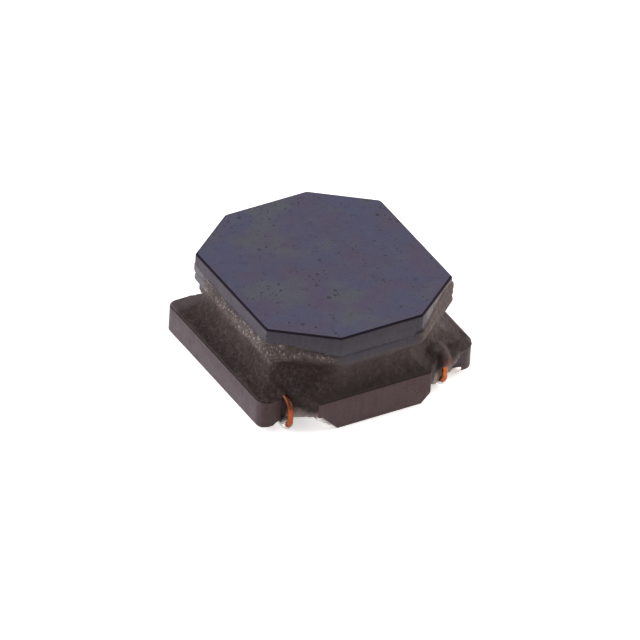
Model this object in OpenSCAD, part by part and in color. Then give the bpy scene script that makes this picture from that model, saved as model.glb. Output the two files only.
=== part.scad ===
// Shielded surface-mount power inductor. A one-piece ferrite drum core has an octagonal
// top flange, a round post and a square base. A layered copper winding sits on the post,
// magnetic resin fills the space between the flanges, and both wire ends run down through
// notches in the base into two soldered grooves, which are the terminals.
// Lengths are in millimetres, Z is up, and the origin is the middle of the seating plane.

/* [Base] */
// Length of the base along X, over the two terminal blocks
base_x = 6; // [5.8:0.1:7.6]
// Length of the base along Y, over the two tongues
base_y = 6; // [5.9:0.1:7.2]
// Height of the base's top face above the seating plane
base_top = 0.85; // [0.75:0.01:1]
// Length of each terminal block along Y
block_y = 4.76; // [4.6:0.02:5.2]
// Radius of the upright corners of the terminal blocks
block_round = 0.28; // [0.15:0.01:0.4]
// Width of the two tongues, which stand out between the wire notches
tongue_w = 3.16; // [2.9:0.02:3.3]
// How far the tongues lie left of the middle plane
tongue_shift = 0.14; // [0:0.01:0.2]
// Radius of the upright edges of the tongues
tongue_round = 0.06; // [0.02:0.01:0.15]
// Distance across a pair of notches, between the inner ends of the blocks
notch_span = 4.8; // [4.7:0.02:5]
// Distance between the notch walls of the two ends
notch_walls = 3.6; // [3.4:0.05:4]

/* [Underside] */
// Width of the flat land along the middle of the underside
land_w = 2.34; // [2:0.02:2.6]
// Height of the groove ceilings above the seating plane
groove_h = 0.45; // [0.38:0.01:0.5]
// Distance between the tops of the inner groove slopes
slope_span = 3.24; // [3.1:0.02:3.4]
// Distance over the two groove ceilings, at their outer edges
ceiling_span = 4.28; // [4:0.02:4.4]
// Distance between the feet of the outer groove slopes
foot_span = 5.26; // [5.1:0.02:5.5]
// Height of the blocks' underside above the seating plane
block_lift = 0.12; // [0.08:0.01:0.18]
// Chamfer along the lower long edges of the blocks
block_chamfer = 0.05; // [0.02:0.01:0.1]

/* [Top flange and post] */
// Height of the whole part
part_h = 2.6; // [2.5:0.02:3.2]
// Thickness of the octagonal flange
flange_t = 0.56; // [0.4:0.02:0.7]
// Length of the octagon along X
flange_x = 5.21; // [4.9:0.01:5.6]
// Length of the octagon along Y
flange_y = 5.78; // [5.4:0.01:5.9]
// What each cut corner takes off along X
corner_x = 1.47; // [1.2:0.01:1.6]
// What each cut corner takes off along Y
corner_y = 1.12; // [0.9:0.01:1.3]
// Radius of the octagon's upright edges
flange_round = 0.1; // [0.04:0.01:0.2]
// Chamfer round the top face
flange_chamfer = 0.05; // [0.02:0.01:0.1]
// Diameter of the post that carries the winding
post_d = 2.7; // [2.4:0.05:3]

/* [Winding] */
// Diameter of the enamelled wire
wire_d = 0.15; // [0.12:0.005:0.16]
// How far neighbouring turns press into each other's enamel
turn_press = 0.005; // [0.003:0.001:0.01]
// Number of layers of turns
layers = 5; // [2:1:5]
// Gap between the wire and the ferrite or the resin beside it
wire_gap = 0.005; // [0.003:0.001:0.01]
// Distance of the left lead from the middle plane
lead_left = 2.31; // [2.2:0.01:2.31]
// Distance of the right lead from the middle plane
lead_right = 2; // [1.9:0.01:2.2]
// Distance of the leads' upright stretch from the middle plane
lead_out = 2.64; // [2.6:0.01:2.75]
// How far a lead drops between the winding's foot and the upright stretch
lead_drop = 0.07; // [0.05:0.01:0.15]
// Bend radius where a lead turns down
lead_bend = 0.3; // [0.25:0.01:0.45]
// Bend radius where a lead turns under the base
foot_bend = 0.16; // [0.12:0.01:0.2]
// Height of the lead's middle where it lies in the groove
lead_run_z = 0.18; // [0.15:0.01:0.2]
// Length of the lead that lies in the groove, from the upright stretch
lead_run = 3.9; // [2.5:0.1:4.3]

/* [Resin] */
// Width of bare ferrite round the base's top face
resin_margin = 0.03; // [0.01:0.005:0.08]
// Thickness of the resin at its outer edge
resin_rim = 0.03; // [0.01:0.005:0.06]
// Height of the hollow curve that rises from the base
cove_h = 0.54; // [0.4:0.02:0.6]
// How far the resin wall lies inside the octagon at its waist
waist = 0.3; // [0.15:0.01:0.36]
// How far the resin bulges past the octagon under the flange
bulge = 0.05; // [0.02:0.005:0.1]
// Height of the bulge below the flange
bulge_drop = 0.15; // [0.08:0.01:0.25]
// How far the resin face between a block and a tongue curves inwards
notch_sag = 0.1; // [0.02:0.01:0.15]
// Height of the resin's lower edge in the left notch and the two far notches
fill_low = 0.3; // [0.28:0.01:0.36]
// Height of the resin's lower edge in the notch of the right lead
fill_low_right = 0.2; // [0.16:0.01:0.3]
// Distance from the tongue over which the lower edge climbs to the tongue's side
fill_slope = 0.3; // [0.1:0.01:0.5]
// Diameter of the resin drop that covers the bend of the right lead
drop_d = 0.42; // [0.36:0.02:0.46]
// Diameter of the drop's inner end, where it runs out on the resin's hollow curve
drop_end_d = 0.3; // [0.24:0.02:0.36]

/* [Terminals] */
// Thickness of the plated layer
plate_t = 0.03; // [0.02:0.005:0.04]
// Bare ferrite between the plating and the edges of the base
plate_margin = 0.1; // [0.06:0.01:0.2]
// Distance of the solder's ends from the notch walls
solder_margin = 0.06; // [0.02:0.01:0.2]
// Radius of the solder's outer lower edge
solder_round = 0.06; // [0.03:0.01:0.07]
// Diameter of the solder drawn out along a lead
solder_d = 0.3; // [0.24:0.02:0.34]
// Thickness of the solder that runs out along the tongue's slope
wick_t = 0.1; // [0.05:0.01:0.14]
// Height that this solder climbs on the left tongue slope
wick_h = 0.4; // [0.2:0.01:0.42]
// Height that this solder climbs on the right tongue slope
wick_h_right = 0.18; // [0.1:0.01:0.2]

/* [Hidden] */
$fn = 48;
over = 1;  // how far a cutter runs past the face that it opens

flange_z = part_h - flange_t;
wire_r = wire_d / 2;
turn_pitch = wire_d - turn_press;
coil_in = post_d / 2 + wire_gap + wire_r;
coil_out = coil_in + (layers - 1) * turn_pitch;
lead_z = base_top + wire_gap + wire_r;
first_turn = lead_z + wire_d + wire_gap;
last_turn_max = flange_z - wire_gap - wire_r;
turns = floor((last_turn_max - first_turn) / turn_pitch) + 1;
notch_x = notch_span / 2;
tongue_left = tongue_w / 2 + tongue_shift;
tongue_right = tongue_w / 2 - tongue_shift;
wall_y = notch_walls / 2;

// ---- Plain shapes -------------------------------------------------------------

module rounded_rect(x, y, r) {
    square([x - 2 * r, y], center = true);
    square([x, y - 2 * r], center = true);
    for (i = [-1, 1], j = [-1, 1])
        translate([i * (x / 2 - r), j * (y / 2 - r)]) circle(r);
}

// A profile drawn in X and Z, drawn out along Y over the given length.
module along_y(length) {
    rotate([90, 0, 0]) linear_extrude(length, center = true) children();
}

module both_sides() {
    children();
    mirror([1, 0, 0]) children();
}

// Faces of a closed skin over m rings of n points each.
function skin_faces(n, m) = concat(
    [[for (i = [0:n - 1]) i]],
    [for (k = [0:m - 2], i = [0:n - 1])
        let (j = (i + 1) % n)
        each [[k * n + j, k * n + i, (k + 1) * n + j], [(k + 1) * n + j, k * n + i, (k + 1) * n + i]]],
    [[for (i = [n - 1:-1:0]) (m - 1) * n + i]]
);

// ---- Drum core ----------------------------------------------------------------

module base_plan() {
    difference() {
        union() {
            rounded_rect(base_x, block_y, block_round);
            translate([-tongue_shift, 0]) rounded_rect(tongue_w, base_y, tongue_round);
        }
        for (j = [0, 1]) mirror([0, j, 0]) {
            translate([tongue_right, wall_y]) square([notch_x - tongue_right, over]);
            translate([-notch_x, wall_y]) square([notch_x - tongue_left, over]);
        }
    }
}

// The underside from the middle land outwards, as far as the block's outer edge.
groove_line = [
    [land_w / 2, 0],
    [slope_span / 2, groove_h],
    [ceiling_span / 2, groove_h],
    [foot_span / 2, block_lift]
];

module groove_cutter() {
    edge = base_x / 2;
    along_y(base_y + over)
        polygon(concat([[land_w / 2, -over]], groove_line, [
            [edge - block_chamfer, block_lift],
            [edge, block_lift + block_chamfer],
            [edge + over, block_lift + block_chamfer],
            [edge + over, -over]
        ]));
}

module octagon(inset) {
    x = flange_x / 2;
    y = flange_y / 2;
    offset(r = flange_round) offset(delta = -flange_round - inset)
        polygon([
            [x, y - corner_y], [x - corner_x, y], [corner_x - x, y], [-x, y - corner_y],
            [-x, corner_y - y], [corner_x - x, -y], [x - corner_x, -y], [x, corner_y - y]
        ]);
}

module drum_core() {
    color([0.33, 0.33, 0.38]) {
        difference() {
            linear_extrude(base_top) base_plan();
            both_sides() groove_cutter();
        }
        translate([0, 0, groove_h]) cylinder(h = flange_z + flange_t / 2 - groove_h, d = post_d);
        translate([0, 0, flange_z]) hull() {
            linear_extrude(flange_t - flange_chamfer) octagon(0);
            linear_extrude(flange_t) octagon(flange_chamfer);
        }
    }
}

// ---- Winding ------------------------------------------------------------------

function unit(v) = v / norm(v);
function angle_between(a, b) = acos(unit(a) * unit(b));

// The stations of a wire that turns from heading a to heading b round the corner p, with a
// bend of radius r. Each station is a point and the heading there.
function bend_stations(p, a, b, r) =
    let (u = unit(a),
         turn = angle_between(a, b),
         inwards = unit(unit(b) - u * (unit(b) * u)),
         centre = p - u * r * tan(turn / 2) + inwards * r,
         steps = ceil(turn / bend_step))
    [for (i = [0:steps])
        let (t = turn * i / steps)
        [centre + r * (u * sin(t) - inwards * cos(t)), u * cos(t) + inwards * sin(t)]];

// A round wire through the points p, with a bend of radius r[i] at each inner point.
module bent_wire(p, r, d) {
    last = len(p) - 1;
    step = [for (i = [0:last - 1]) p[i + 1] - p[i]];
    stations = concat(
        [[p[0], unit(step[0])]],
        [for (i = [1:last - 1]) each bend_stations(p[i], step[i - 1], step[i], r[i])],
        [[p[last], unit(step[last - 1])]]
    );
    n = wire_sides;
    m = len(stations);
    polyhedron(
        points = [for (s = stations)
            let (v = unit(cross(s[1], [1, 0, 0])), w = cross(s[1], v))
            for (i = [0:n - 1]) s[0] + d / 2 * (v * cos(360 * i / n) + w * sin(360 * i / n))],
        faces = skin_faces(n, m)
    );
}

// The stretch of a lead outside the winding: over the base, down the notch and along the groove.
function lead_tail(x) = [
    [x, -wall_y + wire_d, lead_z],
    [x, -lead_out, lead_z - lead_drop],
    [x, -lead_out, lead_run_z],
    [x, lead_run - lead_out, lead_run_z]
];

inner_heading = -40;   // where the right lead climbs into the first layer, in degrees
outer_heading = 200;   // where the left lead leaves the last layer, in degrees
enter_z = first_turn + turn_pitch / 2;
bend_step = 12;        // largest turn between two stations of a bend, in degrees
wire_sides = 16;

inner_spot = coil_in * [cos(inner_heading), sin(inner_heading)];
outer_spot = (coil_out - turn_pitch) * [cos(outer_heading), sin(outer_heading)];

right_route = concat([[inner_spot.x, inner_spot.y, enter_z], [inner_spot.x, inner_spot.y, lead_z]],
                     lead_tail(lead_right));
left_route = concat([[outer_spot.x, outer_spot.y, enter_z]], lead_tail(-lead_left));
small_bend = wire_d;
right_bends = [0, small_bend, lead_bend / 2, lead_bend, foot_bend, 0];
left_bends = [0, lead_bend / 2, lead_bend, foot_bend, 0];

module leads(d) {
    bent_wire(right_route, right_bends, d);
    bent_wire(left_route, left_bends, d);
}

// All turns of the winding in section, with the varnish between them.
module turn_stack() {
    for (i = [0:layers - 1], j = [0:turns - 1])
        translate([coil_in + i * turn_pitch, first_turn + j * turn_pitch]) circle(d = wire_d);
    translate([coil_in, first_turn])
        square([(layers - 1) * turn_pitch, (turns - 1) * turn_pitch]);
}

module winding() {
    color([0.85, 0.42, 0.2]) {
        rotate_extrude() turn_stack();
        leads(wire_d);
    }
}

// ---- Resin --------------------------------------------------------------------

arc_steps = 6;
curve_steps = 5;
wall_steps = 3;

function lerp(a, b, t) = a * (1 - t) + b * t;

// The resin's face across a notch, curved inwards, from the block to the tongue's side at x = tongue.
function notch_curve(tongue) =
    let (from = [notch_x, block_y / 2 - resin_margin],
         to = [tongue, base_y / 2 - resin_margin],
         inwards = unit([from.y - to.y, to.x - from.x]))
    [for (i = [0:curve_steps])
        let (t = i / curve_steps) lerp(from, to, t) + inwards * notch_sag * 4 * t * (1 - t)];

// One quarter of the resin's outline on the base: round the block's corner and across the notch.
function base_quarter(tongue) =
    let (x = base_x / 2 - resin_margin,
         y = block_y / 2 - resin_margin,
         r = block_round - resin_margin)
    concat(
        [[x, 0]],
        [for (i = [0:arc_steps]) [x - r, y - r] + r * [cos(90 * i / arc_steps), sin(90 * i / arc_steps)]],
        notch_curve(tongue),
        [[0, base_y / 2 - resin_margin]]
    );

// The same number of points along a quarter of the octagon, drawn in by the given inset.
function octagon_quarter(inset, count) =
    let (slant = norm([corner_x, corner_y]),
         x = flange_x / 2 - inset,
         y = flange_y / 2 - inset,
         side = [x, flange_y / 2 - corner_y - inset * (slant - corner_y) / corner_x],
         end = [flange_x / 2 - corner_x - inset * (slant - corner_x) / corner_y, y])
    concat(
        [[x, 0]],
        [for (i = [0:count - 3]) lerp(side, end, i / (count - 3))],
        [[0, y]]
    );

// Mirrors the quarter outlines of the right and left halves into a closed ring.
function ring(right, left) = let (n = len(right)) concat(
    right,
    [for (i = [n - 2:-1:0]) [-left[i].x, left[i].y]],
    [for (i = [1:n - 1]) [-left[i].x, -left[i].y]],
    [for (i = [n - 2:-1:1]) [right[i].x, -right[i].y]]
);

waist_z = base_top + resin_rim + cove_h;
bulge_z = flange_z - bulge_drop;

// From the base up: height, inset from the octagon, and share of the base's outline.
resin_levels = concat(
    [[base_top, waist, 1]],
    [for (i = [0:arc_steps]) let (a = 90 * i / arc_steps)
        [base_top + resin_rim + cove_h * (1 - cos(a)), waist, 1 - sin(a)]],
    [for (i = [1:wall_steps]) let (t = i / wall_steps)
        [lerp(waist_z, bulge_z, t), lerp(waist, -bulge, (1 - cos(180 * t)) / 2), 0]],
    [[flange_z, 0, 0]]
);

module resin_skin() {
    foot_right = base_quarter(tongue_right);
    foot_left = base_quarter(tongue_left);
    count = len(foot_right);
    rings = [for (level = resin_levels)
        let (top = octagon_quarter(level[1], count),
             right = [for (i = [0:count - 1]) lerp(top[i], foot_right[i], level[2])],
             left = [for (i = [0:count - 1]) lerp(top[i], foot_left[i], level[2])])
        [for (p = ring(right, left)) [p.x, p.y, level[0]]]];
    n = len(rings[0]);
    m = len(rings);
    middle = n * m;
    sides = [for (f = skin_faces(n, m)) if (len(f) == 3) f];
    polyhedron(
        points = concat([for (r = rings) each r], [[0, 0, base_top], [0, 0, flange_z]]),
        faces = concat(
            [for (i = [0:n - 1]) [middle, i, (i + 1) % n]],
            sides,
            [for (i = [0:n - 1]) [middle + 1, middle - n + (i + 1) % n, middle - n + i]]
        )
    );
}

// Resin in one notch, in the quarter of +X and +Y, from its lower edge up into the skin.
module notch_fill(tongue, low) {
    top = base_top + resin_rim / 2;
    intersection() {
        linear_extrude(top)
            polygon(concat([[tongue, wall_y], [notch_x, wall_y]], notch_curve(tongue)));
        // the lower edge climbs to the foot of the tongue's upright side
        along_y(base_y)
            polygon([
                [tongue, groove_h], [tongue + fill_slope, low], [notch_x, low],
                [notch_x, top], [tongue, top]
            ]);
    }
}

// Resin that runs down over the bend of the right lead.
module drop() {
    hull() {
        translate([lead_right, drop_d / 4 - lead_out, lead_z - lead_drop - drop_d / 4])
            sphere(d = drop_d);
        translate([lead_right, drop_d - lead_out, lead_z]) sphere(d = drop_end_d);
    }
}

module resin_fill() {
    color([0.36, 0.33, 0.31]) difference() {
        union() {
            resin_skin();
            notch_fill(tongue_right, fill_low);
            mirror([1, 0, 0]) notch_fill(tongue_left, fill_low);
            rotate(180) notch_fill(tongue_left, fill_low);
            mirror([0, 1, 0]) notch_fill(tongue_right, fill_low_right);
            drop();
        }
        translate([0, 0, base_top - over]) cylinder(h = part_h, d = post_d);
        translate([0, 0, first_turn - wire_r - wire_gap])
            cylinder(h = part_h, r = coil_out + wire_r + wire_gap);
        leads(wire_d + 2 * wire_gap);
    }
}

// ---- Terminals and solder -----------------------------------------------------

plate_foot = plate_t / groove_h;   // share of the inner slope left bare above the seating plane

// The plated surface in section, from the inner slope to the block's outer edge.
plated_line = concat(
    [lerp(groove_line[0], groove_line[1], 2 * plate_foot)],
    [for (i = [1:3]) groove_line[i]],
    [[base_x / 2 - plate_margin, block_lift]]
);

module plate_plan(tongue) {
    tongue_end = base_y / 2 - plate_margin;
    block_end = block_y / 2 - plate_margin;
    for (j = [-1, 1]) mirror([0, j < 0 ? 1 : 0]) {
        square([tongue, tongue_end]);
        square([notch_x, wall_y]);
        translate([notch_x, 0]) square([base_x / 2 - notch_x, block_end]);
    }
}

module terminal(tongue) {
    color([0.78, 0.78, 0.8]) intersection() {
        along_y(base_y)
            polygon(concat(plated_line,
                           [for (i = [4:-1:0]) plated_line[i] - [0, plate_t]]));
        linear_extrude(base_top) plate_plan(tongue);
    }
}

// Section of the solder that fills the groove level with the seating plane.
module solder_section() {
    edge = plated_line[4] - [0, plate_t];
    polygon(concat(
        [[land_w / 2 + plate_t, 0]],
        [for (i = [0:3]) plated_line[i] - [0, plate_t]],
        [edge, [edge.x, solder_round], [edge.x - solder_round, 0]]
    ));
    translate([edge.x - solder_round, 0]) intersection() {
        translate([0, solder_round]) circle(r = solder_round);
        square(solder_round);
    }
}

module solder_bead(lead, low, climb) {
    fill_end = wall_y - solder_margin;
    wick_end = base_y / 2 - 2 * plate_margin;
    along_y(2 * fill_end) solder_section();
    // solder drawn out along the lead, beside the block
    intersection() {
        along_y(base_y) intersection() {
            solder_section();
            square([base_x, low]);
        }
        translate([lead, 0, lead_run_z]) rotate([90, 0, 0]) {
            cylinder(h = lead_out - solder_d / 2, d = solder_d);
            translate([0, 0, lead_out - solder_d / 2]) sphere(d = solder_d);
        }
    }
    // solder drawn out along the tongue's slope
    slope_top = lerp(plated_line[0], plated_line[1], climb / groove_h) - [0, plate_t];
    along_y(2 * wick_end)
        polygon([
            [land_w / 2 + plate_t, 0], plated_line[0] - [0, plate_t], slope_top,
            slope_top + [wick_t, -wick_t], [land_w / 2 + plate_t + wick_t, 0]
        ]);
}

module solder(side, lead, low, climb, route, bends) {
    color([0.74, 0.74, 0.76]) difference() {
        mirror([side < 0 ? 1 : 0, 0, 0]) solder_bead(lead, low, climb);
        bent_wire(route, bends, wire_d);
    }
}

drum_core();
winding();
resin_fill();
mirror([1, 0, 0]) terminal(tongue_left);  // terminal_left
terminal(tongue_right);  // terminal_right
solder(-1, lead_left, fill_low, wick_h, left_route, left_bends);  // solder_left
solder(1, lead_right, fill_low_right, wick_h_right, right_route, right_bends);  // solder_right
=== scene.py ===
"""Looks of a shielded surface-mount power inductor: ferrite core, enamelled copper winding,
magnetic resin, plated terminals and solder, on a pale studio floor.

Pieces are shaped in millimetres and brought to metres when they are finished."""

import math

import bpy
from mathutils import Matrix, Vector


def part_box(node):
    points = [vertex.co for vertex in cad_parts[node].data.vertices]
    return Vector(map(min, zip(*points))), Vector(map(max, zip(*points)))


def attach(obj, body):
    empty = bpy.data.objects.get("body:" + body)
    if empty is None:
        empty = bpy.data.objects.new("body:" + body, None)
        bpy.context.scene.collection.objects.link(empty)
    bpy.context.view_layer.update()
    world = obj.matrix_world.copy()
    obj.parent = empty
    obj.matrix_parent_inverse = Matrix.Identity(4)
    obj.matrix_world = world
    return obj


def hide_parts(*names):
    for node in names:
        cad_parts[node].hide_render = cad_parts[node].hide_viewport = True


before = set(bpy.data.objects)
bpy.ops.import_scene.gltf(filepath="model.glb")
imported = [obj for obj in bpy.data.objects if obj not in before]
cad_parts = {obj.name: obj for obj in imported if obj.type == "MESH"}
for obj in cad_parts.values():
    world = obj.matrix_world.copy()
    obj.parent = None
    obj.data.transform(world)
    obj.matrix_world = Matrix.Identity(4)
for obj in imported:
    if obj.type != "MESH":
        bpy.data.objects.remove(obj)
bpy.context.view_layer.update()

bl_info = {
    "name": "Shielded inductor looks",
    "version": (1, 0, 0),
    "blender": (4, 5, 0),
    "location": "View3D > Sidebar > Inductor",
    "description": "Pieces, finishes and studio of a shielded surface-mount inductor",
    "category": "Object",
}

MM = 0.001
BODY = "root"

# Heights and reaches on the part, in millimetres
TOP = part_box("drum_core")[1].z / MM            # the flange's top face
RESIN_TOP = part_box("resin_fill")[1].z / MM     # the flange's lower face, where the resin ends
HALF_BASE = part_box("drum_core")[1].x / MM      # from the middle to the base's ends
BASE_TOP = 0.85                                # the base's top face
CLOSE = 0.0005                                 # corners nearer than this are merged
CHAMFER = 0.06                                 # sloped faces this near the top are the chamfer's

# How the resin's body is carried on where other pieces hide it
INTO_BASE = 0.16                               # down into the base
STEP_RISE = 0.02                               # up into the flange, with a step in to
STEP_SHARE = 0.983                             # this share of its width,
INTO_FLANGE = 0.51                             # and on up by this much
FILM_BED = 0.045                               # how far inside the flange's sides it then lies
FILLER_RADIUS = 2.2                            # the filler round the post, which takes the
FILLER_HEIGHT = 1.3                            # place of the hollow that the winding lies in
FILLER_MIDDLE = 1.4

# Resin that ran further than the solid shows: middle, half axes and turn about Y in degrees
RESIN_RUNS = (
    ((-2.31, -2.12, 0.89), (0.14, 0.27, 0.1), 0),      # over the left lead where it comes out
    ((-2.15, 2.12, 0.7), (0.4, 0.2, 0.155), 0),        # behind the cut in the far left notch
    ((2.44, -2.36, 0.62), (0.12, 0.07, 0.27), 15),     # down the block beside the right lead
    ((2.5, -2.33, 0.81), (0.42, 0.085, 0.18), -8),     # along that block's upper edge
    ((1.78, -2.2, 0.93), (0.42, 0.3, 0.16), 0),        # left of the right lead
)
# In the far left notch it stands back, level with the block's end: middle and sides of the cut
NOTCH_CUT = ((-2.11, 2.83, 0.6), (0.78, 1, 1.2))

# How the resin's skin swells
LUMP_SPREAD = 0.55                             # distance between the broad lumps
GRIT_SPREAD = 0.09                             # distance between the grains of grit
SWELL_MIDDLE = 0.42                            # grey of the clouds that leaves the skin as it is
OUTLINE_MARGIN = 0.04                          # the skin doesn't swell this near the outline,
SKIN_FADE = 0.1                                # and swells in full this much further in
FILM_FADE = 0.08                               # height over which the film thins out

# Where the resin's far left corner drew back on curing
RECESS_AIM = Vector((-1, 1, 0)).normalized()   # from the part's middle towards the corner
RECESS_TOP = 1.65                              # height where it begins
RECESS_FOOT = 0.88                             # height below which it is full,
RECESS_FLOOR = 0.84                            # down to the base,
RECESS_FLOOR_FADE = 0.04                       # where it ends over this height
RECESS_HALF = 1.2                              # how far it reaches to either side,
RECESS_REACH = 3.3                             # and outwards from the middle,
RECESS_FADE = 0.2                              # where it ends over this width
DENT_MIDDLE = Vector((-2.65, 1.6, 1.75))       # a dent beside it, under the flange,
DENT_RADIUS = 0.75
DENT_SHARE = 0.7                               # which is this much as deep

# A little solder crept out under the front end of the right block: middle and half axes
SOLDER_CREEP = ((2.46, -2.36, 0.2), (0.2, 0.09, 0.09))

# The studio, in metres
FLOOR_SIDE = 3.0
FLOOR_GLOW = 0.5
LAMPS = (("left", (-0.29, 0.12, 0.12), 0.26),
         ("right", (0.29, -0.035, 0.12), 0.26),
         ("top", (0.02, 0.05, 0.34), 0.30))    # name, place and side


def linear(hex_code):
    """Linear colour of an sRGB hex code such as "#50525f"."""
    parts = [int(hex_code[i:i + 2], 16) / 255 for i in (1, 3, 5)]
    return tuple(c / 12.92 if c <= 0.04045 else ((c + 0.055) / 1.055) ** 2.4 for c in parts) + (1.0,)


# ---- What a user would change ---------------------------------------------------


def length(name, description, mm):
    """A length, given in millimetres and kept in metres."""
    return bpy.props.FloatProperty(name=name, description=description, default=mm * MM,
                                   min=0.0, precision=6, subtype="DISTANCE", unit="LENGTH")


def share(name, description, value, top=1.0):
    """A number from 0 to top."""
    return bpy.props.FloatProperty(name=name, description=description, default=value,
                                   min=0.0, max=top, subtype="FACTOR")


def colour(name, description, hex_code):
    """A colour, given as an sRGB hex code and kept linear."""
    return bpy.props.FloatVectorProperty(name=name, description=description, size=4,
                                         default=linear(hex_code), min=0.0, max=1.0,
                                         subtype="COLOR")


def angle(name, description, degrees):
    """An angle, given in degrees."""
    return bpy.props.FloatProperty(name=name, description=description,
                                   default=math.radians(degrees), subtype="ANGLE",
                                   unit="ROTATION")


class FerriteLook(bpy.types.PropertyGroup):
    edge_round: length("Edge rounding", "Radius worn onto the pressed edges", 0.03)
    pore: length("Pore radius", "Radius of the largest pores", 0.085)
    pore_spacing: length("Pore spacing", "Mean distance between pores", 0.28)
    ground: colour("Ground face", "Colour of the ground top face", "#3a3b54")
    ground_warm: colour("Ground face, warm patches", "Second tone of the top face", "#40384d")
    ground_grey: colour("Ground face, grey patches", "Third tone of the top face", "#43464c")
    flange: colour("Flange sides", "Colour of the flange's pressed sides", "#423d48")
    pressed: colour("Base sides", "Colour of the base's pressed sides", "#543b3c")
    dressed: colour("Dressed sides", "Colour of the base's ends, which were dressed", "#554649")
    # painted light: this colour paints the right lamp's light on the flange's side at the right
    # front corner
    wiped: colour("Wiped flange", "Colour of the flange's side that was wiped clean", "#6c6467")
    # partly painted shade: the chamfer's near-black also paints the shadow line along the top edges
    chamfer: colour("Chamfer", "Colour of the unground chamfer", "#1c161b")
    stain: colour("Resin stain", "Colour of resin wiped thin on the flange", "#46413f")
    hole: colour("Pores", "Colour inside a pore", "#151420")
    streak: colour("Die streaks", "Tint of the streaks that the die left", "#9a8f90")
    dulling: colour("Dulling", "Tint that dulls the pressed sides", "#5b5557")
    crystal: colour("Crystal grain", "Tint of the crystal grain", "#8d8c9b")


class CopperLook(bpy.types.PropertyGroup):
    enamelled: colour("Enamelled copper", "Colour of copper through clear enamel", "#9a4c28")
    lightened: colour("Rubbed copper", "Colour of the right lead, whose enamel is thin", "#bd6a3c")
    shaded: colour("Darker enamel", "Colour where the enamel is thicker", "#74331a")
    wetted: colour("Wetted enamel", "Colour where resin wetted the wire", "#3c241a")


class ResinLook(bpy.types.PropertyGroup):
    voxel: length("Mesh size", "Edge length of the remeshed resin", 0.04)
    lumps: length("Lumps", "Height of the broad lumps", 0.06)
    grit: length("Grit", "Height of the grit", 0.035)
    recess: length("Recess", "How far the resin's far left corner drew back", 0.12)
    film_thickness: length("Film thickness", "Thickness of the resin on the flange's side", 0.04)
    film: bpy.props.FloatVectorProperty(
        name="Film reach", size=8, unit="LENGTH", precision=6,
        description="How far resin climbs each side of the flange, from +X anticlockwise",
        default=[mm * MM for mm in (0.1, 0.34, 0.25, 0.3, 0.1, 0.2, -0.3, 0.48)])
    grain: length("Grain size", "Size of the powder grains", 0.05)
    binder: colour("Binder", "Colour of the resin between grains", "#241c1b")
    powder: colour("Powder", "Colour of most grains", "#392e2b")
    # also painted light: laid on the wall higher up in front and on the far right, where more light
    # falls
    upper: colour("Upper wall", "Colour of the upper half of the resin's wall", "#514748")
    # partly painted light: besides rubbing, this colour paints the lamps' light on the swell under
    # the flange
    worn: colour("Rubbed resin", "Colour where the swell is rubbed", "#534a48")
    smooth: colour("Wiped resin", "Colour where resin was wiped against the flange", "#47434c")
    film_tone: colour("Resin film", "Colour of the film at the far left corner", "#66646a")
    over_wire: colour("Resin over wire", "Colour where the right lead shows through", "#70473d")
    bright: colour("Bright grains", "Colour of the palest grains", "#958c86")
    thin: colour("Thin resin", "Colour where resin runs thin in the notches", "#a39995")


class MetalLook(bpy.types.PropertyGroup):
    voxel: length("Solder mesh size", "Edge length of the remeshed solder", 0.035)
    tin: colour("Plating", "Colour of the tin plating", "#c9c5bd")
    tin_dull: colour("Dull plating", "Colour of the plating's duller patches", "#a29e98")
    solder: colour("Solder", "Colour of the set solder", "#d6d2cf")
    solder_dull: colour("Dull solder", "Colour between the solder's grains", "#aaa6a3")


class StudioLook(bpy.types.PropertyGroup):
    azimuth: angle("View azimuth", "Turn of the camera round the part", -31.4557)
    elevation: angle("View elevation", "Height angle of the camera", 35.7411)
    roll: angle("View roll", "Turn of the camera about its axis", 3.39897)
    aim_right: length("Aim, right", "Where the view's middle lies, to the right", 0.0288807)
    aim_up: length("Aim, up", "Where the view's middle lies, upwards", 0.751558)
    distance: length("Distance", "Distance of the camera", 495.3643)
    lens: bpy.props.FloatProperty(name="Lens", description="Focal length in millimetres",
                                  default=1142.26, min=1.0, unit="CAMERA")
    floor: colour("Floor", "Colour of the pale floor", "#f6f5f4")
    tent: colour("Tent light", "Colour of the light from all round", "#f3efec")
    tent_level: share("Tent level", "Strength of the light from all round", 0.45, 4.0)
    left: colour("Left lamp", "Colour of the soft lamp at the left", "#fbf7fb")
    left_level: share("Left level", "Light that the left lamp gives", 1.08, 10.0)
    right: colour("Right lamp", "Colour of the soft lamp at the right", "#fff5ee")
    right_level: share("Right level", "Light that the right lamp gives", 1.15, 10.0)
    top: colour("Top lamp", "Colour of the soft lamp overhead", "#eef1ff")
    top_level: share("Top level", "Light that the top lamp gives", 0.15, 10.0)


# ---- Shaping --------------------------------------------------------------------


def only(piece):
    """Makes piece the one selected, active object."""
    if bpy.context.mode != "OBJECT":
        bpy.ops.object.mode_set(mode="OBJECT")
    bpy.ops.object.select_all(action="DESELECT")
    piece.select_set(True)
    bpy.context.view_layer.objects.active = piece


def edit_all(piece):
    """Enters edit mode with the whole of piece selected."""
    only(piece)
    bpy.ops.object.mode_set(mode="EDIT")
    bpy.ops.mesh.select_all(action="SELECT")


def merge_close(piece):
    """Merges the corners of piece that all but touch."""
    edit_all(piece)
    bpy.ops.mesh.remove_doubles(threshold=CLOSE)
    bpy.ops.object.mode_set(mode="OBJECT")


def rescale(piece, factor):
    """Scales the mesh of piece about the origin."""
    only(piece)
    piece.scale = (factor,) * 3
    bpy.ops.object.transform_apply(location=False, rotation=False, scale=True)


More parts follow.
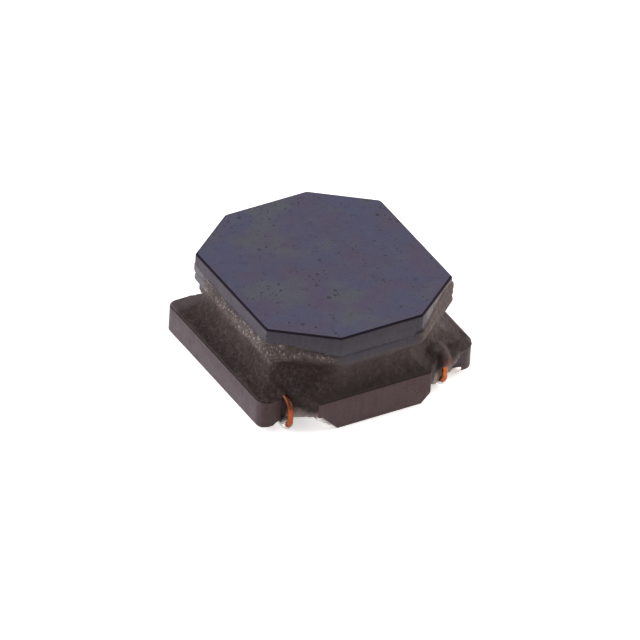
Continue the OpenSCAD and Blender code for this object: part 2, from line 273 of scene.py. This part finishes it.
def working_copy(node, title):
    """A merged copy of a CAD node in millimetres, whose mesh can be worked on."""
    piece = bpy.data.objects.new(title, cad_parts[node].data.copy())
    piece.data.name = title
    piece.data.materials.clear()
    bpy.context.scene.collection.objects.link(piece)
    rescale(piece, 1 / MM)
    merge_close(piece)
    return piece


def select_faces(piece, wanted):
    """Selects the faces for which wanted(centre, normal) holds, and enters edit mode."""
    only(piece)
    bpy.context.tool_settings.mesh_select_mode = (False, False, True)
    mesh = piece.data
    for part in (mesh.vertices, mesh.edges, mesh.polygons):
        part.foreach_set("select", [False] * len(part))
    for face in mesh.polygons:
        face.select = wanted(face.center, face.normal)
    bpy.ops.object.mode_set(mode="EDIT")


def level_at(height, facing=1):
    """A test for level faces at height that face up, or down where facing is -1."""
    return lambda centre, normal: normal.z * facing > 0.99 and abs(centre.z - height) < 0.002


def on_chamfer(centre, normal):
    """Whether a face belongs to the chamfer round the flange's top."""
    return centre.z > TOP - CHAMFER and 0.3 < normal.z < 0.95


def raise_faces(rise):
    """Extrudes the selected faces upwards."""
    bpy.ops.mesh.extrude_region_move(TRANSFORM_OT_translate={"value": (0, 0, rise)})


def modify(piece, kind, **settings):
    """Adds a modifier with its settings and applies it."""
    only(piece)
    modifier = piece.modifiers.new(kind.lower(), kind)
    for key, value in settings.items():
        setattr(modifier, key, value)
    bpy.ops.object.modifier_apply(modifier=modifier.name)


def join_to(piece):
    """Joins the primitive just added to piece."""
    bpy.ops.object.transform_apply(location=True, rotation=True, scale=True)
    piece.select_set(True)
    bpy.context.view_layer.objects.active = piece
    bpy.ops.object.join()


def add_ellipsoid(piece, middle, half, turn=0, segments=32):
    """Joins an ellipsoid to piece, turned by so many degrees about Y."""
    bpy.ops.mesh.primitive_uv_sphere_add(segments=segments, ring_count=segments // 2, radius=1,
                                         location=middle, scale=half,
                                         rotation=(0, math.radians(turn), 0))
    join_to(piece)


def finish_piece(piece, node, smooth, material=None):
    """Brings a finished piece to metres and lets it stand for its CAD node."""
    rescale(piece, MM)
    bpy.ops.object.shade_smooth_by_angle(angle=math.radians(smooth))
    if material:
        piece.data.materials.append(material)
    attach(piece, BODY)
    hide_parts(node)


def limited(value):
    """The value, kept between 0 and 1."""
    return min(1.0, max(0.0, value))


def nearness(distance, reach):
    """1 at no distance, falling smoothly to 0 at reach."""
    near = max(0.0, 1 - distance / reach)
    return near * near * (3 - 2 * near)


def film_share(look, place):
    """How far the film covers the flange's side at place, from 0 to 1."""
    eighth = math.atan2(place.y, place.x) / (math.pi / 4) % 8
    first = int(eighth)
    second = (first + 1) % 8
    reach = (look.film[first] * (1 - eighth + first) + look.film[second] * (eighth - first)) / MM
    return limited((reach - (place.z - RESIN_TOP)) / FILM_FADE + 0.5)


def recess_share(place):
    """How far the skin draws back at place near the far left corner, from 0 to 1."""
    outward = place.dot(RECESS_AIM)
    sideways = abs(place.x + place.y) / math.sqrt(2)
    low = limited((RECESS_TOP - place.z) / (RECESS_TOP - RECESS_FOOT))
    depth = low ** 1.5 * nearness(sideways, RECESS_HALF)
    depth *= limited((RECESS_REACH - outward) / RECESS_FADE) if outward > 0.0 else 0.0
    depth *= limited((place.z - RECESS_FLOOR) / RECESS_FLOOR_FADE)
    dent = DENT_SHARE * nearness((place - DENT_MIDDLE).length, DENT_RADIUS)
    return min(1.0, depth + dent)


def weigh(resin, look):
    """Marks the skin that is free to swell, the film on the flange's side and the recess."""
    groups = {name: resin.vertex_groups.new(name=name) for name in ("skin", "film", "recess")}
    for vertex in resin.data.vertices:
        place = vertex.co
        above = place.z - RESIN_TOP
        film = film_share(look, place)
        # the outline of the base stays as it is
        margin = HALF_BASE - OUTLINE_MARGIN - max(abs(place.x), abs(place.y))
        weights = {"skin": limited(margin / SKIN_FADE) if above < 0.0 else film,
                   "film": film if above >= 0.01 else 0.0,
                   "recess": recess_share(place)}
        for name, weight in weights.items():
            groups[name].add([vertex.index], weight, "REPLACE")


# ---- Finishes -------------------------------------------------------------------

SMOOTH = {"interpolation_type": "SMOOTHSTEP"}

# Parts of the resin, as limits for Finish.where: its front wall, and where it spilled out
# over the right lead
RESIN_FRONT = ("X", -1.35, -0.9)
RESIN_SPILL = (("X", 1.8, 1.95), ("Y", -1.9, -2.2))


def feed(tree, node, sockets):
    """Gives a node's inputs their values. sockets holds them in order or by key. Each is a
    number or colour, the output that feeds it, or the node whose first output feeds it."""
    pairs = sockets.items() if isinstance(sockets, dict) else enumerate(sockets)
    for key, value in pairs:
        if isinstance(value, bpy.types.Node):
            value = value.outputs[0]
        if isinstance(value, bpy.types.NodeSocket):
            tree.links.new(value, node.inputs[key])
        else:
            node.inputs[key].default_value = value


def add_node(tree, kind, sockets=(), **settings):
    """Adds a node with its settings and inputs."""
    made = tree.nodes.new("ShaderNode" + kind)
    made.location = (220 * len(tree.nodes), 0)
    for key, value in settings.items():
        setattr(made, key, value)
    feed(tree, made, sockets)
    return made


class Finish:
    """A new material, with its Principled shader and places in millimetres. Apart from add, each
    function makes a small pattern of nodes of several kinds."""

    def __init__(self, title):
        self.material = bpy.data.materials.new(title)
        self.material.use_nodes = True
        self.tree = self.material.node_tree
        self.tree.nodes.clear()
        self.shader = self.add("BsdfPrincipled")
        self.output = self.add("OutputMaterial", (self.shader,))
        self.coordinates = self.add("TexCoord").outputs
        self.mm = self.add("Mapping", {"Vector": self.coordinates["Object"],
                                       "Scale": (1 / MM,) * 3})
        self.place = self.add("SeparateXYZ", (self.mm,)).outputs

    def add(self, kind, sockets=(), **settings):
        return add_node(self.tree, kind, sockets, **settings)

    def where(self, *parts):
        """1 where all the parts hold, and 0 elsewhere. A part is a limit, which gives an axis,
        where the region begins and where it is full, or a value that scales the rest."""
        result = None
        for part in parts:
            if isinstance(part, tuple):
                axis, begins, full = part
                part = self.add("MapRange", (self.place[axis], begins, full), **SMOOTH)
            if result is not None:
                part = self.add("Math", (result, part), operation="MULTIPLY")
            result = part
        return result

    def lay(self, under, over, *parts, kind="MIX"):
        """The colour under, with the colour over laid on it where all the parts hold."""
        return self.add("Mix", {0: self.where(*parts), 6: under, 7: over},
                        data_type="RGBA", blend_type=kind).outputs[2]

    def clouds(self, size, levels, detail=3.0, roughness=0.55, across=None,
               kind="SMOOTHSTEP"):
        """Soft patches about size millimetres across. levels gives the noise's low and high
        level, and then what they become where that isn't 0 and 1."""
        noise = self.add("TexNoise", {"Vector": self.mm if across is None else across,
                                      "Scale": 1 / size, "Detail": detail,
                                      "Roughness": roughness})
        return self.add("MapRange", (noise, *levels), interpolation_type=kind)

    def spots(self, spacing, radius, gather):
        """1 inside round spots of random size, up to radius millimetres, which are largest
        where gather is high."""
        cells = self.add("TexVoronoi", {"Vector": self.mm, "Scale": 1 / spacing})
        chance = self.add("SeparateColor", (cells.outputs["Color"],))
        skewed = self.add("Math", (chance, 0.8), operation="POWER")
        reach = self.add("Math", (self.where(skewed, gather, radius / spacing), 0.0001),
                         operation="MAXIMUM")
        ratio = self.add("Math", (cells, reach), operation="DIVIDE")
        return self.add("MapRange", (ratio, 1.0, 0.7), **SMOOTH)

    def surface(self, height, relief, strength, sockets):
        """Feeds the shader, with relief of so many millimetres where height goes from 0 to 1."""
        normal = self.add("Bump", {"Height": height, "Distance": relief * MM,
                                   "Strength": strength})
        feed(self.tree, self.shader, {**sockets, "Normal": normal})
        return self.material


def ground_top(finish, look):
    """The ground top face, in three tones that uneven firing left in patches of about 1 mm."""
    tone = finish.lay(look.ground, look.ground_warm, finish.clouds(1.3, (0.38, 0.62), 4.0))
    elsewhere = finish.add("VectorMath", (finish.mm, (7.0, 3.0, 0.0)))
    ashen = finish.clouds(1.0, (0.48, 0.68, 0.0, 0.8), across=elsewhere)
    return finish.lay(tone, look.ground_grey, ashen)


def pressed_sides(finish, look):
    """The sides: the base below, with its dressed ends, and the flange above, whose side at the
    right front corner is painted lighter, as painted light from the right lamp."""
    ends = finish.add("Math", (finish.where(("X", -2.9, -2.97)), finish.where(("X", 1.8, 2.4))),
                      operation="MAXIMUM")
    base = finish.lay(look.pressed, look.dressed, ends)
    # painted light: the flange's side at the right front corner is painted lighter where the right
    # lamp falls
    flange = finish.lay(look.flange, look.wiped, ("X", 1.25, 1.4), ("Y", -1.4, -2.2))
    high = ("Z", TOP - 1.6, TOP - 1.1)
    tone = finish.lay(base, flange, high)
    # the die leaves faint streaks along the pressing direction, about 0.1 mm apart
    drawn = finish.add("VectorMath", (finish.mm, (1.0, 1.0, 0.12)), operation="MULTIPLY")
    streaks = finish.clouds(0.1, (0.3, 0.7, 0.0, 0.7), 3.0, 0.6, drawn)
    tone = finish.lay(tone, look.streak, streaks, kind="SOFT_LIGHT")
    tone = finish.lay(tone, look.dulling, 0.3, kind="SOFT_LIGHT")
    # resin wiped over the flange's lower half leaves a thin stain
    smudge = finish.clouds(0.14, (0.42, 0.62, 0.0, 0.6), 3.0, 0.65)
    return finish.lay(tone, look.stain, ("Z", TOP - 0.2, TOP - 0.45), ("X", -1.0, -1.3),
                      ("Y", -1.7, -1.9), high, smudge)


def sintered_ferrite(look):
    """Nickel-zinc ferrite, pressed, fired and ground on top: a dense dark ceramic, matte with a
    faint sheen, blue-grey and pored where it is ground and greyer where it came from the die."""
    finish = Finish("sintered_ferrite_ground_and_pressed")
    normal = finish.add("SeparateXYZ", (finish.coordinates["Normal"],))
    facing_up = finish.add("MapRange", (normal.outputs["Z"], 0.85, 0.98), **SMOOTH)
    on_top = finish.where(facing_up, ("Z", TOP - 0.08, TOP - 0.03))
    tone = finish.lay(pressed_sides(finish, look), ground_top(finish, look), on_top)
    # shallow stains 0.1 to 0.2 mm wide
    tone = finish.lay(tone, look.hole, finish.clouds(0.2, (0.58, 0.75, 0.0, 0.35), 2.0, 0.4))
    # crystal grain is about 0.01 mm and is drawn at 0.05 mm, so that it shows
    grain = finish.add("TexNoise", {"Vector": finish.mm, "Scale": 1 / 0.05, "Detail": 2.0,
                                    "Roughness": 0.7})
    sparkle = finish.add("MapRange", (grain, 0.3, 0.7, 0.0, 0.8))
    tone = finish.lay(tone, look.crystal, sparkle, kind="SOFT_LIGHT")
    # pores left by gas in firing, in loose clusters, with smaller ones between them
    gather = finish.clouds(1.1, (0.4, 0.6, 0.55, 1.0), 2.0)
    spacing, radius = look.pore_spacing / MM, look.pore / MM
    holes = finish.add("Math", (finish.spots(spacing, radius, gather),
                                finish.spots(spacing / 2, radius / 2, gather)),
                       operation="MAXIMUM")
    # they are shallower on the pressed sides, which the die smoothed
    openness = finish.add("MapRange", (on_top, 0.0, 1.0, 0.5, 0.9))
    tone = finish.lay(tone, look.hole, holes, openness)
    gloss = finish.clouds(0.3, (0.3, 0.7, 0.42, 0.58), kind="LINEAR")
    height = finish.add("Math", (finish.where(grain, 0.12), holes), operation="SUBTRACT")
    return finish.surface(height, 0.02, 0.6, {"Base Color": tone, "Roughness": gloss,
                                              "IOR": 1.6, "Specular IOR Level": 0.25})


def unground_ferrite_and_edge_shade(look):
    """The same ceramic where the grinding wheel didn't reach: rough, with open grain that holds no
    shine, and painted almost black as painted shade, the shadow line along the flange's top edge and
    the base's top edge. It shows as a narrow band round the top face."""
    finish = Finish("sintered_ferrite_as_fired")
    grain = finish.add("TexNoise", {"Vector": finish.mm, "Scale": 1 / 0.06, "Detail": 2.0,
                                    "Roughness": 0.7})
    dark = finish.add("MapRange", (grain, 0.35, 0.65, 0.0, 0.5), **SMOOTH)
    tone = finish.lay(look.chamfer, look.hole, dark)
    # the lower half of the chamfer shades off into the flange's side, and the base doesn't
    tone = finish.lay(tone, look.flange, ("Z", TOP - 0.032, TOP - 0.048),
                      ("Z", TOP - 0.3, TOP - 0.2), 0.8)
    return finish.surface(grain, 0.006, 0.6, {"Base Color": tone, "Roughness": 0.95,
                                              "Specular IOR Level": 0.1})


def enamelled_copper(look):
    """Drawn copper wire in clear polyurethane enamel: bright orange metal under a thin glossy
    skin, faintly mottled, and brown where resin wetted its upper bend."""
    finish = Finish("enamelled_copper_wire_drawn")
    # the enamel's thickness varies over about 0.1 mm
    mottle = finish.clouds(0.08, (0.35, 0.65, 0.0, 0.5), 2.0)
    tone = finish.lay(look.enamelled, look.lightened, ("X", 1.7, 1.9))
    tone = finish.lay(tone, look.shaded, mottle)
    tone = finish.lay(tone, look.wetted, ("Z", 0.6, 0.84), 0.85)
    gloss = finish.add("MapRange", (mottle, 0.0, 0.5, 0.38, 0.5), **SMOOTH)
    return finish.surface(mottle, 0.003, 0.5, {"Base Color": tone, "Metallic": 1.0,
                                               "Roughness": gloss, "Coat Weight": 0.1,
                                               "Coat Roughness": 0.3})


def resin_wall(finish, look, tone):
    """The wall's tones: paler higher up in front and on the far right, as painted light, paler too
    at the far left and over the spill, and darker in creases, as painted shade.
    """
    # painted light: the wall is painted paler higher up in front, above the shade low down, and on
    # the far right where the right lamp's glare falls; the far left and the spill are paler too
    pale = finish.where(("Z", 0.8, 1.6), RESIN_FRONT)
    far_right = finish.where(("X", 2.0, 2.6), ("Y", -2.15, -1.5), 0.95)
    far_left = finish.where(("X", -1.7, -1.9), ("Y", 1.7, 2.15), 1.3)
    for patch in (far_right, far_left, finish.where(*RESIN_SPILL, 0.5)):
        pale = finish.add("Math", (pale, patch), operation="MAXIMUM")
    blotches = finish.clouds(0.22, (0.3, 0.7, 0.6, 1.1), kind="LINEAR")
    tone = finish.lay(tone, look.upper, pale, blotches)
    # the paste is mottled with paler crumbs about 0.1 mm across
    tone = finish.lay(tone, look.upper, finish.clouds(0.11, (0.5, 0.68, 0.0, 0.4), 3.0, 0.65))
    # painted shade: it is darkest in the valley left of the right lead and along the tongue's edge,
    # where shade falls
    valley = finish.where(("X", 0.95, 1.2), ("X", 1.95, 1.8), ("Y", -1.9, -2.2),
                          ("Z", 1.6, 1.3))
    rim = finish.where(("Y", -2.6, -2.86), ("Z", 1.2, 0.96))
    painted_crease_shade = finish.add("Math", (valley, rim), operation="MAXIMUM")
    return finish.lay(tone, look.binder, painted_crease_shade, 0.6)


def rubbed_and_lit_swell(finish):
    """How far the swell under the flange is painted paler, partly as rubbing and partly as painted
    light
    where the lamps fall on it: low down on the left, hardly in front, and less where it thins out
    over the flange."""
    left = finish.where(("X", -2.0, -2.3))
    border = finish.add("Math", (1.84, finish.where(left, 0.5)), operation="SUBTRACT")
    above = finish.add("Math", (finish.place["Z"], border), operation="SUBTRACT")
    band = finish.add("MapRange", (above, -0.12, 0.12), **SMOOTH)
    front = finish.add("MapRange", (finish.where(RESIN_FRONT), 0.0, 1.0, 1.0, 0.35), **SMOOTH)
    right = finish.where(("X", 1.2, 1.6), 0.75)
    side = finish.add("Math", (front, right), operation="MAXIMUM")
    thinning = finish.add("MapRange", (finish.place["Z"], 1.98, 2.12, 1.0, 0.6), **SMOOTH)
    thinned = finish.add("Math", (thinning, left), operation="MAXIMUM")
    return finish.where(band, side, thinned, finish.clouds(0.2, (0.3, 0.55, 0.5, 1.0)))


def pale_grains(finish, lightened):
    """The palest grains, drawn about 0.05 mm across, of which more show where the swell is rubbed
    and painted lit.
    """
    flecks = finish.add("TexNoise", {"Vector": finish.mm, "Scale": 1 / 0.055, "Detail": 2.0,
                                     "Roughness": 0.75})
    least = finish.add("Math", (0.8, finish.where(lightened, 0.27)), operation="SUBTRACT")
    beyond = finish.add("Math", (flecks, least), operation="SUBTRACT")
    return finish.add("MapRange", (beyond, -0.03, 0.2), **SMOOTH)


def resin_smears(finish, look, tone):
    """The places where the resin was wiped or lies thin over something else."""
    # in front it was wiped smooth against the flange and took on its blue-grey
    tone = finish.lay(tone, look.smooth, ("Z", 1.78, 1.94), RESIN_FRONT, ("X", 1.15, 0.9))
    # at the far left it left a grey film
    tone = finish.lay(tone, look.film_tone, ("X", -2.0, -2.4), ("Y", 1.0, 1.5),
                      ("Z", 1.38, 1.72), 0.9)
    # the right lead's bend shows through the drop on it
    tone = finish.lay(tone, look.over_wire, ("X", 1.87, 1.97), ("X", 2.19, 2.09),
                      ("Y", -2.4, -2.5), ("Z", 0.95, 0.75), 0.8)
    # in the notches it runs thin and pale over the ceramic, and less so on the right
    depth = finish.add("Math", (finish.place["Z"], finish.where(*RESIN_SPILL, 0.12)),
                       operation="SUBTRACT")
    thin = finish.add("MapRange", (depth, 0.68, 0.36, 0.0, 0.85), **SMOOTH)
    right = finish.add("MapRange", (finish.place["X"], 0.0, 1.0, 1.0, 0.6), **SMOOTH)
    return finish.lay(tone, look.thin, thin, right, ("X", -2.34, -2.24))


def powder_resin(look):
    """Epoxy filled with iron and ferrite powder, dispensed and cured: a matte brown-grey paste
    full of grains, the palest of which catch the light."""
    finish = Finish("magnetic_powder_epoxy_dispensed")
    # what depends on the height wavers up and down by 0.08 mm
    waver = finish.clouds(0.35, (0.3, 0.7, -0.08, 0.08), kind="LINEAR")
    height = finish.add("Math", (finish.place["Z"], waver), operation="ADD")
    finish.place = {"X": finish.place["X"], "Y": finish.place["Y"], "Z": height}
    # grains of about 0.02 mm, drawn at 0.05 mm so that they show
    cells = finish.add("TexVoronoi", {"Vector": finish.mm, "Scale": MM / look.grain})
    chance = finish.add("SeparateColor", (cells.outputs["Color"],))
    tone = finish.lay(look.binder, look.powder, finish.add("MapRange", (chance, 0.0, 1.0, 0.1, 0.9)))
    tone = resin_wall(finish, look, tone)
    lightened = rubbed_and_lit_swell(finish)
    # the swell is painted paler, partly as rubbing and partly as painted light where the lamps fall
    # on it
    tone = finish.lay(tone, look.worn, lightened, 0.8)
    glint = pale_grains(finish, lightened)
    tone = resin_smears(finish, look, finish.lay(tone, look.bright, glint))
    gloss = finish.add("MapRange", (glint, 0.0, 1.0, 0.75, 0.4), **SMOOTH)
    crust = finish.add("TexNoise", {"Vector": finish.mm, "Scale": 1 / 0.07, "Detail": 3.0,
                                    "Roughness": 0.6})
    relief = finish.add("Math", (crust, finish.where(cells, 0.5)), operation="SUBTRACT")
    return finish.surface(relief, 0.02, 0.7, {"Base Color": tone, "Roughness": gloss,
                                              "IOR": 1.5, "Specular IOR Level": 0.2})


def matte_tin(look):
    """Tin plated over silver and nickel on the ferrite: a pale, slightly warm metal, satin, with
    the ceramic's own fine grain showing through."""
    finish = Finish("tin_plating_matte")
    mottle = finish.add("TexNoise", {"Vector": finish.mm, "Scale": 1 / 0.12, "Detail": 3.0,
                                     "Roughness": 0.55})
    dull = finish.add("MapRange", (mottle, 0.35, 0.65, 0.0, 0.6), **SMOOTH)
    gloss = finish.add("MapRange", (mottle, 0.3, 0.7, 0.3, 0.48), **SMOOTH)
    grain = finish.add("TexNoise", {"Vector": finish.mm, "Scale": 1 / 0.04, "Detail": 2.0,
                                    "Roughness": 0.55})
    return finish.surface(grain, 0.004, 0.6,
                          {"Base Color": finish.lay(look.tin, look.tin_dull, dull),
                           "Metallic": 1.0, "Roughness": gloss})


def set_solder(look):
    """Lead-free solder as it froze: silvery and smooth, with a net of duller lines between its
    crystals and a few duller patches."""
    finish = Finish("lead_free_solder_frozen")
    # tin crystals are about 0.1 mm across on a joint of this size
    crystals = finish.add("TexVoronoi", {"Vector": finish.mm, "Scale": 9.0},
                          feature="DISTANCE_TO_EDGE")
    net = finish.add("MapRange", (crystals, 0.0, 0.09, 1.0, 0.0), **SMOOTH)
    patches = finish.clouds(0.4, (0.4, 0.65, 0.0, 0.5))
    dull = finish.add("Math", (finish.where(net, 0.5), patches), operation="MAXIMUM")
    gloss = finish.add("MapRange", (patches, 0.0, 0.5, 0.42, 0.6), **SMOOTH)
    ripple = finish.add("TexNoise", {"Vector": finish.mm, "Scale": 1 / 0.15, "Detail": 2.0,
                                     "Roughness": 0.55})
    height = finish.add("Math", (ripple, net), operation="SUBTRACT")
    return finish.surface(height, 0.006, 0.6,
                          {"Base Color": finish.lay(look.solder, look.solder_dull, dull),
                           "Metallic": 1.0, "Roughness": gloss})


# ---- Pieces ---------------------------------------------------------------------


class INDUCTOR_OT_core(bpy.types.Operator):
    """Make the ferrite drum core with its worn edges"""
    bl_idname = "inductor.core"
    bl_label = "Ferrite core"

    def execute(self, context):
        look = context.scene.ferrite_look
        core = working_copy("drum_core", "ferrite_drum_core")
        edit_all(core)
        bpy.ops.mesh.dissolve_limited(angle_limit=math.radians(0.5))
        bpy.ops.object.mode_set(mode="OBJECT")
        core.data.materials.append(sintered_ferrite(look))
        core.data.materials.append(unground_ferrite_and_edge_shade(look))
        # the chamfer and the base's top face stay as fired, and their dark colour is painted shade
        # along those edges
        core.active_material_index = 1
        on_base = level_at(BASE_TOP)
        select_faces(core, lambda centre, normal: on_chamfer(centre, normal)
                     or on_base(centre, normal))
        bpy.ops.object.material_slot_assign()
        bpy.ops.object.mode_set(mode="OBJECT")
        # not clamped, because the shortest edge would then hold every rounding near zero
        modify(core, "BEVEL", width=look.edge_round / MM, segments=3, limit_method="ANGLE",
               angle_limit=math.radians(50), use_clamp_overlap=False)
        merge_close(core)
        finish_piece(core, "drum_core", 40)
        return {"FINISHED"}


class INDUCTOR_OT_winding(bpy.types.Operator):
    """Make the copper winding and its two leads"""
    bl_idname = "inductor.winding"
    bl_label = "Copper winding"

    def execute(self, context):
        coil = working_copy("winding", "copper_winding_and_leads")
        finish_piece(coil, "winding", 50,
                     enamelled_copper(context.scene.copper_look))
        return {"FINISHED"}


class INDUCTOR_OT_resin(bpy.types.Operator):
    """Make the resin shield, gritty and smeared over the flange's lower edge"""
    bl_idname = "inductor.resin"
    bl_label = "Resin shield"

    def execute(self, context):
        look = context.scene.resin_look
        resin = working_copy("resin_fill", "powder_resin_shield")
        self.carry_on(resin)
        for middle, half, turn in RESIN_RUNS:
            add_ellipsoid(resin, middle, half, turn)
        self.cut_notch(resin)
        modify(resin, "REMESH", mode="VOXEL", voxel_size=look.voxel / MM)
        modify(resin, "SMOOTH", factor=0.5, iterations=3)
        weigh(resin, look)
        self.swell(resin, look)
        finish_piece(resin, "resin_fill", 80, powder_resin(look))
        return {"FINISHED"}

    def carry_on(self, resin):
        """Carries the body into the base and up inside the flange, and fills its hollow."""
        select_faces(resin, level_at(BASE_TOP, -1))
        raise_faces(-INTO_BASE)
        select_faces(resin, level_at(RESIN_TOP))
        raise_faces(STEP_RISE)
        bpy.ops.transform.resize(value=(STEP_SHARE, STEP_SHARE, 1))
        raise_faces(INTO_FLANGE)
        bpy.ops.object.mode_set(mode="OBJECT")
        bpy.ops.mesh.primitive_cylinder_add(vertices=64, radius=FILLER_RADIUS,
                                            depth=FILLER_HEIGHT, location=(0, 0, FILLER_MIDDLE))
        join_to(resin)

    def cut_notch(self, resin):
        """Cuts the resin back in the far left notch."""
        middle, sides = NOTCH_CUT
        bpy.ops.mesh.primitive_cube_add(size=1, location=middle, scale=sides)
        cutter = bpy.context.active_object
        modify(resin, "BOOLEAN", object=cutter, operation="DIFFERENCE", solver="EXACT",
               use_self=True)
        bpy.data.objects.remove(cutter)

    def swell(self, resin, look):
        """Brings out the film, raises lumps and grit, and draws back the far left corner."""
        modify(resin, "DISPLACE", mid_level=0.0, vertex_group="film",
               strength=look.film_thickness / MM + FILM_BED)
        for title, spread, height in (("lumps", LUMP_SPREAD, look.lumps),
                                      ("grit", GRIT_SPREAD, look.grit)):
            cloud = bpy.data.textures.new(title, "CLOUDS")
            cloud.noise_scale = spread
            cloud.noise_depth = 1
            modify(resin, "DISPLACE", texture=cloud, texture_coords="LOCAL",
                   mid_level=SWELL_MIDDLE, strength=height / MM, vertex_group="skin")
        for axis, aim in zip("XY", RECESS_AIM):
            modify(resin, "DISPLACE", mid_level=0.0, vertex_group="recess", direction=axis,
                   strength=-look.recess / MM * aim)


class INDUCTOR_OT_terminals(bpy.types.Operator):
    """Plate the two terminals and flow the solder in their grooves"""
    bl_idname = "inductor.terminals"
    bl_label = "Terminals and solder"

    def execute(self, context):
        look = context.scene.metal_look
        tin = matte_tin(look)
        solder = set_solder(look)
        for side in ("left", "right"):
            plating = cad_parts["terminal_" + side]
            plating.data.materials.clear()
            plating.data.materials.append(tin)
            self.flow_solder(side, look, solder)
        return {"FINISHED"}

    def flow_solder(self, side, look, solder):
        """Makes the solder in one groove."""
        bead = working_copy("solder_" + side, "solder_bead_" + side)
        if side == "right":
            add_ellipsoid(bead, *SOLDER_CREEP, segments=24)
        modify(bead, "REMESH", mode="VOXEL", voxel_size=look.voxel / MM)
        modify(bead, "SMOOTH", factor=0.5, iterations=4)
        finish_piece(bead, "solder_" + side, 80, solder)


def seen(tree, level):
    """level for rays from the lens, from a mirror and through glass, and else 0."""
    path = add_node(tree, "LightPath").outputs
    rays = path["Is Camera Ray"]
    for kind in ("Is Glossy Ray", "Is Transmission Ray"):
        rays = add_node(tree, "Math", (rays, path[kind]), operation="MAXIMUM")
    return add_node(tree, "Math", (rays, level), operation="MULTIPLY")


class INDUCTOR_OT_studio(bpy.types.Operator):
    """Set the pale floor, the soft lamps and the camera"""
    bl_idname = "inductor.studio"
    bl_label = "Studio"

    def execute(self, context):
        look = context.scene.studio_look
        self.make_floor(look)
        self.make_tent(context, look)
        for name, place, side in LAMPS:
            self.make_lamp(context, name + "_lamp", getattr(look, name),
                           getattr(look, name + "_level"), Vector(place), side)
        self.make_camera(context, look)
        context.scene.view_settings.view_transform = "Standard"
        return {"FINISHED"}

    def make_floor(self, look):
        """A pale matte floor."""
        bpy.ops.object.select_all(action="DESELECT")
        bpy.ops.mesh.primitive_plane_add(size=FLOOR_SIDE)
        floor = bpy.context.active_object
        floor.name = "studio_floor"
        finish = Finish("painted_floor_matte")
        feed(finish.tree, finish.shader, {"Base Color": look.floor, "Roughness": 0.9,
                                          "Specular IOR Level": 0.2})
        # what the lens sees of the floor is lifted to white, and the shadow stays
        glow = finish.add("Emission", {"Strength": seen(finish.tree, FLOOR_GLOW)})
        feed(finish.tree, finish.output, (finish.add("AddShader", (finish.shader, glow)),))
        floor.data.materials.append(finish.material)

    def make_tent(self, context, look):
        """Light from all round, which the lens sees as white."""
        world = bpy.data.worlds.new("studio_tent")
        context.scene.world = world
        world.use_nodes = True
        tree = world.node_tree
        tree.nodes.clear()
        light = add_node(tree, "Background", (look.tent, look.tent_level))
        white = add_node(tree, "Background", (linear("#ffffff"), 1.0))
        mixed = add_node(tree, "MixShader", (seen(tree, 1.0), light, white))
        add_node(tree, "OutputWorld", (mixed,))

    def make_lamp(self, context, title, tone, level, place, side):
        """A square lamp aimed at the part, whose light there is level on a facing surface."""
        data = bpy.data.lights.new(title, "AREA")
        data.shape = "SQUARE"
        data.size = side
        data.color = tone[:3]
        data.energy = level * math.pi ** 2 * place.length_squared
        lamp = bpy.data.objects.new(title, data)
        lamp.location = place
        lamp.rotation_euler = place.to_track_quat("Z", "Y").to_euler()
        context.scene.collection.objects.link(lamp)

    def make_camera(self, context, look):
        """A camera placed by its angles round the part and the point that it aims at."""
        turn, rise, roll = look.azimuth, look.elevation, look.roll
        back = Vector((math.sin(turn) * math.cos(rise), -math.cos(turn) * math.cos(rise),
                       math.sin(rise)))
        right = Vector((math.cos(turn), math.sin(turn), 0))
        up = back.cross(right)
        right, up = (math.cos(roll) * right + math.sin(roll) * up,
                     math.cos(roll) * up - math.sin(roll) * right)
        data = bpy.data.cameras.new("product_camera")
        data.sensor_width = 36.0
        data.lens = look.lens
        data.clip_start = 0.01
        data.clip_end = 10.0
        camera = bpy.data.objects.new("product_camera", data)
        camera.matrix_world = Matrix((right, up, back)).transposed().to_4x4()
        camera.location = right * look.aim_right + up * look.aim_up + back * look.distance
        context.scene.collection.objects.link(camera)
        context.scene.camera = camera


class INDUCTOR_PT_panel(bpy.types.Panel):
    bl_idname = "INDUCTOR_PT_panel"
    bl_label = "Shielded inductor"
    bl_space_type = "VIEW_3D"
    bl_region_type = "UI"
    bl_category = "Inductor"

    def draw(self, context):
        for made in OPERATORS:
            self.layout.operator(made.bl_idname)
        for group in LOOKS:
            box = self.layout.box()
            look = getattr(context.scene, group)
            for key in look.__annotations__:
                box.prop(look, key)


LOOKS = {"ferrite_look": FerriteLook, "copper_look": CopperLook, "resin_look": ResinLook,
         "metal_look": MetalLook, "studio_look": StudioLook}
OPERATORS = (INDUCTOR_OT_core, INDUCTOR_OT_winding, INDUCTOR_OT_resin, INDUCTOR_OT_terminals,
             INDUCTOR_OT_studio)


def register():
    for made in (*LOOKS.values(), *OPERATORS, INDUCTOR_PT_panel):
        bpy.utils.register_class(made)
    for name, group in LOOKS.items():
        setattr(bpy.types.Scene, name, bpy.props.PointerProperty(type=group))


def unregister():
    for name in LOOKS:
        delattr(bpy.types.Scene, name)
    for made in (INDUCTOR_PT_panel, *reversed(OPERATORS), *reversed(LOOKS.values())):
        bpy.utils.unregister_class(made)


def main():
    register()
    bpy.ops.inductor.core()
    bpy.ops.inductor.winding()
    bpy.ops.inductor.resin()
    bpy.ops.inductor.terminals()
    bpy.ops.inductor.studio()


if __name__ == "__main__":
    main()
